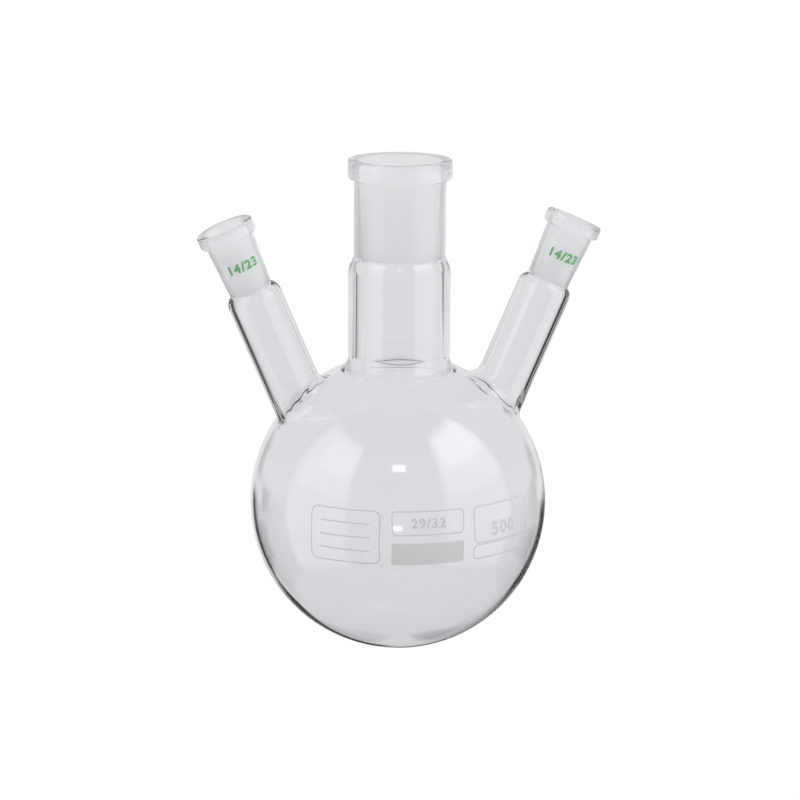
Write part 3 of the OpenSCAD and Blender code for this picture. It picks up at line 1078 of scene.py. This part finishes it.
@dataclass
class Marks:
    """Fired enamel marks on the bulb and on the joints of the side necks."""

    glass: Glass
    print: Print = field(default_factory=Print)
    line: float = 0.45 * MM
    top: float = 62.9 * MM
    frame_w: float = 25.2 * MM
    joint_frame_h: float = 8.5 * MM
    patch_h: float = 7.7 * MM
    patch_gap: float = 2.6 * MM
    volume_frame_h: float = 13.2 * MM
    small_frame_h: float = 5.4 * MM
    frame_turn: float = math.radians(32.0)
    joint_numeral_h: float = 3.6 * MM
    volume_numeral_h: float = 5.0 * MM
    neck_numeral_h: float = 3.4 * MM
    neck_numeral_drop: float = 13.5 * MM
    small_corner: float = 1.6 * MM
    wide_corner: float = 2.6 * MM
    patch_corner: float = 1.0 * MM
    ruled_lines: int = 3
    ruled_line_l: float = 18.0 * MM
    volume_numeral_drop: float = 2.2 * MM

    def on_bulb(self, solid: Solid, turn: float, height: float) -> Solid:
        """Lays a flat solid on the bulb, straight back from the plane in front of it.

        A point x, y, lift goes to x, -sqrt(r^2 - x^2 - h^2), height + y, where r is the bulb's radius
        plus the lift and h is the height over the bulb's middle, and is then turned about Z.

        Args:
            solid: The flat solid.
            turn: Turn from the front, to the right, in radians.
            height: Height of its origin.

        Returns:
            The solid on the bulb.
        """
        x, y, lift = solid.points.T
        radius = self.glass.bulb.radius
        z = height + y
        back = np.sqrt((radius + lift) ** 2 - x**2 - (z - radius) ** 2)
        return self._outwards(turned(np.stack([x, -back, z], 1), turn), solid.faces)

    def on_joint(self, solid: Solid, neck: Neck, sign: int) -> Solid:
        """Wraps a flat solid round the front of a side neck's joint.

        A point x, y, lift goes to the drop d = neck_numeral_drop - y, at the joint's radius there plus
        the lift, turned from the front by x over the joint's radius at the middle of the figures.

        Args:
            solid: The flat solid.
            neck: The neck.
            sign: 1 for the right neck and -1 for the left one.

        Returns:
            The solid on the joint.
        """
        x, y, lift = solid.points.T
        lean = unit(np.array([neck.axis[0], neck.axis[1], 0.0])) * sign
        across = unit(lean - (lean @ neck.axis) * neck.axis)
        front = np.cross(across, neck.axis)
        front = front if front[1] < 0 else -front
        drop = self.neck_numeral_drop - y
        radius = neck.joint_d / 2 - neck.joint_slope * drop + lift
        angle = x / neck.joint_r(self.neck_numeral_drop)
        spoke = np.cos(angle)[:, None] * front + np.sin(angle)[:, None] * across
        points = np.array(neck.rim) - drop[:, None] * neck.axis + radius[:, None] * spoke
        return self._outwards(points, solid.faces)

    @staticmethod
    def _outwards(points: Array, faces: Array) -> Solid:
        """The solid with its triangles turned round if they face its middle on the whole."""
        outwards = np.sum(facings(points, faces) * (points[faces].mean(1) - points.mean(0)))
        return Solid(points, faces if outwards > 0 else faces[:, ::-1])

    @staticmethod
    def _piece(node: str, slot: str, solids: list[Solid], enamel: Enamel) -> bpy.types.Object:
        """Makes one piece of enamel that stands for a node of marks.

        Args:
            node: The node, which also names the piece.
            slot: Material slot of the node. It is not used.
            solids: The solids that make up the piece.
            enamel: Its enamel.

        Returns:
            The piece.
        """
        starts = np.cumsum([0] + [len(solid.points) for solid in solids])
        points = np.concatenate([solid.points for solid in solids])
        faces = np.concatenate([solid.faces + start for solid, start in zip(solids, starts)])
        piece = make_piece(node + "_enamel", points, faces)
        piece.data.materials.append(enamel.value.material())
        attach(piece, "root")
        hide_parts(node)
        return piece

    def build(self) -> list[bpy.types.Object]:
        """Makes the writing patch, the marks on the bulb and the sizes on the side necks.

        Returns:
            The three pieces.
        """
        tool, turn = self.print, self.frame_turn
        marks_h = self.joint_frame_h + self.patch_gap + self.patch_h
        middle = self.top - self.joint_frame_h / 2
        volume_middle = self.top - self.volume_frame_h / 2
        tall_middle = self.top - marks_h / 2
        small_middle = self.top - marks_h + self.small_frame_h / 2
        patch_middle = self.top - self.joint_frame_h - self.patch_gap - self.patch_h / 2

        def frame_of(height: float, corner: float) -> Solid:
            """A frame of the common width and line."""
            return tool.frame(self.frame_w, height, corner, self.line)

        bulb_marks = [self.on_bulb(solid, angle, height) for solid, angle, height in (
            (frame_of(self.joint_frame_h, self.small_corner), 0.0, middle),
            (tool.numerals("29/32", self.joint_numeral_h), 0.0, middle),
            (frame_of(marks_h, self.wide_corner), -turn, tall_middle),
            (frame_of(self.volume_frame_h, self.wide_corner), turn, volume_middle),
            (tool.numerals("500", self.volume_numeral_h), turn, volume_middle - self.volume_numeral_drop),
            (frame_of(self.small_frame_h, self.small_corner), turn, small_middle),
        )]
        for k in range(1, self.ruled_lines + 1):
            height = tall_middle + marks_h * (k / (self.ruled_lines + 1) - 0.5)
            bulb_marks.append(self.on_bulb(tool.rule(self.ruled_line_l, self.line), -turn, height))
        patch = self.on_bulb(tool.field(self.frame_w, self.patch_h, self.patch_corner), 0.0, patch_middle)
        figures = tool.numerals("14/23", self.neck_numeral_h, bold=0.044, spacing=1.2)
        neck_marks = [self.on_joint(figures, self.glass.side_neck(sign), sign) for sign in (1, -1)]
        return [
            self._piece("writing_patch", "patch_enamel", [patch], Enamel.PATCH),
            self._piece("bulb_marks", "white_enamel", bulb_marks, Enamel.WHITE),
            self._piece("neck_marks", "green_enamel", neck_marks, Enamel.GREEN),
        ]


# ---------------------------------------------------------------------------------------------------
# Studio
# ---------------------------------------------------------------------------------------------------


@dataclass(frozen=True)
class Panel:
    """A light or dark field of the room, as the flask sees it.

    Azimuth runs to the right from the direction that the camera looks in, elevation up from level.
    Both, with the width, the height and the soft edge, are in degrees. Light is 1 for plain white.
    """

    azimuth: float
    elevation: float
    width: float
    height: float
    light: float
    edge: float

    def share(self, azimuth: Array, elevation: Array) -> Array:
        """How much of each direction the panel fills: a soft step over each of its four edges.

        Args:
            azimuth: Azimuths, in degrees.
            elevation: Elevations, in degrees.

        Returns:
            Shares from 0 to 1.
        """
        aside = np.abs((azimuth - self.azimuth + 180.0) % 360.0 - 180.0)
        above = np.abs(elevation - self.elevation)
        shares = [1.0 - smooth_step(away, half - self.edge / 2, half + self.edge / 2)
                  for away, half in ((aside, self.width / 2), (above, self.height / 2))]
        return shares[0] * shares[1]


def panels_from(*rows: tuple[float, ...]) -> tuple[Panel, ...]:
    """Panels from rows of azimuth, elevation, width, height, light and edge."""
    return tuple(Panel(*row) for row in rows)


@dataclass
class Studio:
    """The camera, the pale floor and the soft lights round the flask."""

    camera_azimuth: float = math.radians(-11.6)
    camera_distance: float = 0.900
    camera_height: float = 0.303
    aim_height: float = 0.0892
    lens: float = 117.7
    pan: float = 0.0005
    roll: float = math.radians(0.4)
    room_light: float = 0.79
    room_colour: tuple[float, float, float, float] = (0.985, 0.99, 1.0, 1.0)
    near_side: float = 2.5
    dome_radius: float = 3.0
    floor_size: float = 6.0
    bounces: int = 40
    mirror_bounces: int = 24
    backdrop: tuple[Panel, ...] = panels_from(
        (0, -90, 720, 140, 0.65, 12), (179, 40.5, 12.5, 4.8, 6, 2),
    )
    gear: tuple[Panel, ...] = panels_from(
        (180, 10, 200, 150, 0.5, 14), (180, -22, 288, 36, 0.35, 8), (-34, -1, 12, 12, 0.4, 5),
        (39, 0, 12, 10, 0.35, 5), (-42, -8.5, 13, 6, 0.7, 4), (38, -8.5, 8, 6, 0.75, 3),
        (-31, -18, 14, 14, 0.05, 4), (-38, -22.5, 30, 11, 0.02, 3), (-14.5, -31, 27, 11, 0.02, 3),
        (-15, -52, 18, 24, 0.4, 6), (-55.5, -8.5, 12, 8, 0, 2), (22, -42, 28, 22, 0.48, 6),
        (18, -55, 18, 18, 0.1, 6), (23, -18.5, 16, 11, 0.02, 3), (22.5, -27.5, 19, 8, 0.02, 3),
        (7, -26, 15, 10, 0.02, 3), (52, -23, 28, 10, 0.02, 3), (50, -7, 12, 10, 0.25, 4),
        (113, 5, 56, 80, 1.15, 8), (113, 20, 56, 60, 1.35, 8), (112, 37, 54, 42, 2, 10),
        (110, 47, 48, 26, 3, 12), (248, 8, 54, 90, 1.15, 8), (248, 18, 54, 66, 1.3, 8),
        (246, 32, 48, 40, 1.8, 8), (240, 38, 34, 22, 2.4, 10), (179, 40.5, 12.5, 4.8, 6, 2),
    )

    def look(self) -> tuple[Array, Array]:
        """Level unit vectors ahead of the camera and to its right."""
        s, c = math.sin(self.camera_azimuth), math.cos(self.camera_azimuth)
        return np.array([-s, c, 0.0]), np.array([c, s, 0.0])

    def light_from(self, directions: Array, panels: tuple[Panel, ...]) -> Array:
        """Light that comes from each direction: the room's, with the panels laid over it in turn.

        Args:
            directions: Unit vectors (n, 3).
            panels: The panels, the last one on top.

        Returns:
            Array (n).
        """
        ahead, right = self.look()
        azimuth = np.degrees(np.arctan2(directions @ right, directions @ ahead))
        elevation = np.degrees(np.arcsin(np.clip(directions[:, 2], -1.0, 1.0)))
        light = np.full(len(directions), self.room_light)
        for panel in panels:
            share = panel.share(azimuth, elevation)
            light += share * (panel.light - light)
        return light

    @staticmethod
    def _glow(name: str) -> tuple[bpy.types.Material, bpy.types.Node]:
        """A material that only gives light, plain white at first.

        Args:
            name: Name of the material.

        Returns:
            The material and its emission node.
        """
        material = bpy.data.materials.new(name)
        material.use_nodes = True
        tree = material.node_tree
        tree.nodes.clear()
        emission = add_node(tree, "Emission")
        add_node(tree, "OutputMaterial", {"Surface": emission.outputs["Emission"]})
        material.cycles.emission_sampling = "NONE"
        return material, emission

    def _room_glow(self) -> bpy.types.Material:
        """The light of the room. Rays that the near side of the glass mirrored or scattered meet the
        lamps and the dark gear, and all others the plain backdrop. The near side is where a ray has
        passed through fewer surfaces than near_side.

        Returns:
            The material.
        """
        material, emission = self._glow("studio_light")
        emission.inputs["Color"].default_value = self.room_colour
        tree = material.node_tree
        path = add_node(tree, "LightPath").outputs
        passed = path["Transmission Depth"]
        mirrored = add_node(tree, "Math", {0: path["Ray Depth"], 1: passed}, operation="SUBTRACT",
                            use_clamp=True)
        near = add_node(tree, "Math", {0: passed, 1: self.near_side}, operation="LESS_THAN")
        both = add_node(tree, "Math", {0: mirrored.outputs["Value"], 1: near.outputs["Value"]},
                        operation="MULTIPLY")
        plain, busy = (add_node(tree, "Attribute", attribute_name=name).outputs["Fac"]
                       for name in ("backdrop", "gear"))
        blend = add_node(tree, "Mix", {"Factor": both.outputs["Value"], "A": plain, "B": busy})
        tree.links.new(blend.outputs["Result"], emission.inputs["Strength"])
        return material

    def build_dome(self) -> None:
        """Makes the room as a wide ball of light: one point to each degree, as bright as light_from says.

        A point is radius (cos e sin a, cos e cos a, sin e), with a round the horizon and e from the
        floor's side to the ceiling's.
        """
        columns, rows = 360, 181
        a = np.radians(np.arange(0.0, 360.0, 360.0 / columns))
        e = np.radians(np.linspace(-90.0, 90.0, rows))
        e, a = np.meshgrid(e, a, indexing="ij")
        directions = np.stack([np.cos(e) * np.sin(a), np.cos(e) * np.cos(a), np.sin(e)], -1).reshape(-1, 3)
        faces = grid_faces(rows, columns, closed=True)
        dome = make_piece("studio_room", self.dome_radius * directions, faces, directions,
                          {"backdrop": self.light_from(directions, self.backdrop),
                           "gear": self.light_from(directions, self.backdrop + self.gear)})
        dome.data.materials.append(self._room_glow())
        dome.visible_camera = False

    def build_floor(self) -> None:
        """Makes the floor: a plain white square at the height of the bulb's lowest point."""
        half = self.floor_size / 2
        corners = np.array([[-half, -half, 0.0], [half, -half, 0.0], [-half, half, 0.0], [half, half, 0.0]])
        floor = make_piece("studio_floor", corners, grid_faces(2, 2, closed=False))
        floor.data.materials.append(self._glow("floor_white")[0])
        floor.visible_transmission = floor.visible_glossy = floor.visible_diffuse = False
        floor.visible_shadow = False

    def build_world(self) -> None:
        """Sets the white behind everything, and how the picture is developed."""
        scene = bpy.context.scene
        world = bpy.data.worlds.new("white_room")
        world.use_nodes = True
        world.node_tree.nodes["Background"].inputs["Color"].default_value = (1.0, 1.0, 1.0, 1.0)
        world.cycles.sampling_method = "NONE"
        scene.world = world
        scene.view_settings.view_transform = "Standard"
        scene.cycles.use_denoising = True
        scene.cycles.max_bounces = scene.cycles.transmission_bounces = self.bounces
        scene.cycles.glossy_bounces = self.mirror_bounces
        scene.cycles.caustics_refractive = scene.cycles.caustics_reflective = True
        scene.cycles.blur_glossy = 0.0

    def build_camera(self) -> None:
        """Puts the camera at its azimuth, distance and height, and aims it at the flask's axis."""
        ahead, right = self.look()
        place = -self.camera_distance * ahead + np.array([0.0, 0.0, self.camera_height])
        aim = self.pan * right + np.array([0.0, 0.0, self.aim_height])
        data = bpy.data.cameras.new("camera")
        data.lens = self.lens
        camera = bpy.data.objects.new("camera", data)
        bpy.context.scene.collection.objects.link(camera)
        camera.location = place
        aimed = Vector(aim - place).to_track_quat("-Z", "Y")
        camera.rotation_euler = (aimed @ Quaternion((0.0, 0.0, 1.0), self.roll)).to_euler()
        bpy.context.scene.camera = camera

    def build(self) -> None:
        """Makes the whole studio."""
        self.build_camera()
        self.build_floor()
        self.build_dome()
        self.build_world()


def main() -> None:
    """Builds the studio, the glass and the marks, in that order."""
    logging.basicConfig(level=logging.INFO, format="%(name)s: %(message)s")
    Studio().build()
    glass = Glass()
    pieces = [glass.build()]
    pieces += Marks(glass).build()
    for piece in pieces:
        LOG.info("%s: %d triangles", piece.name, len(piece.data.polygons))


if __name__ == "__main__":
    main()
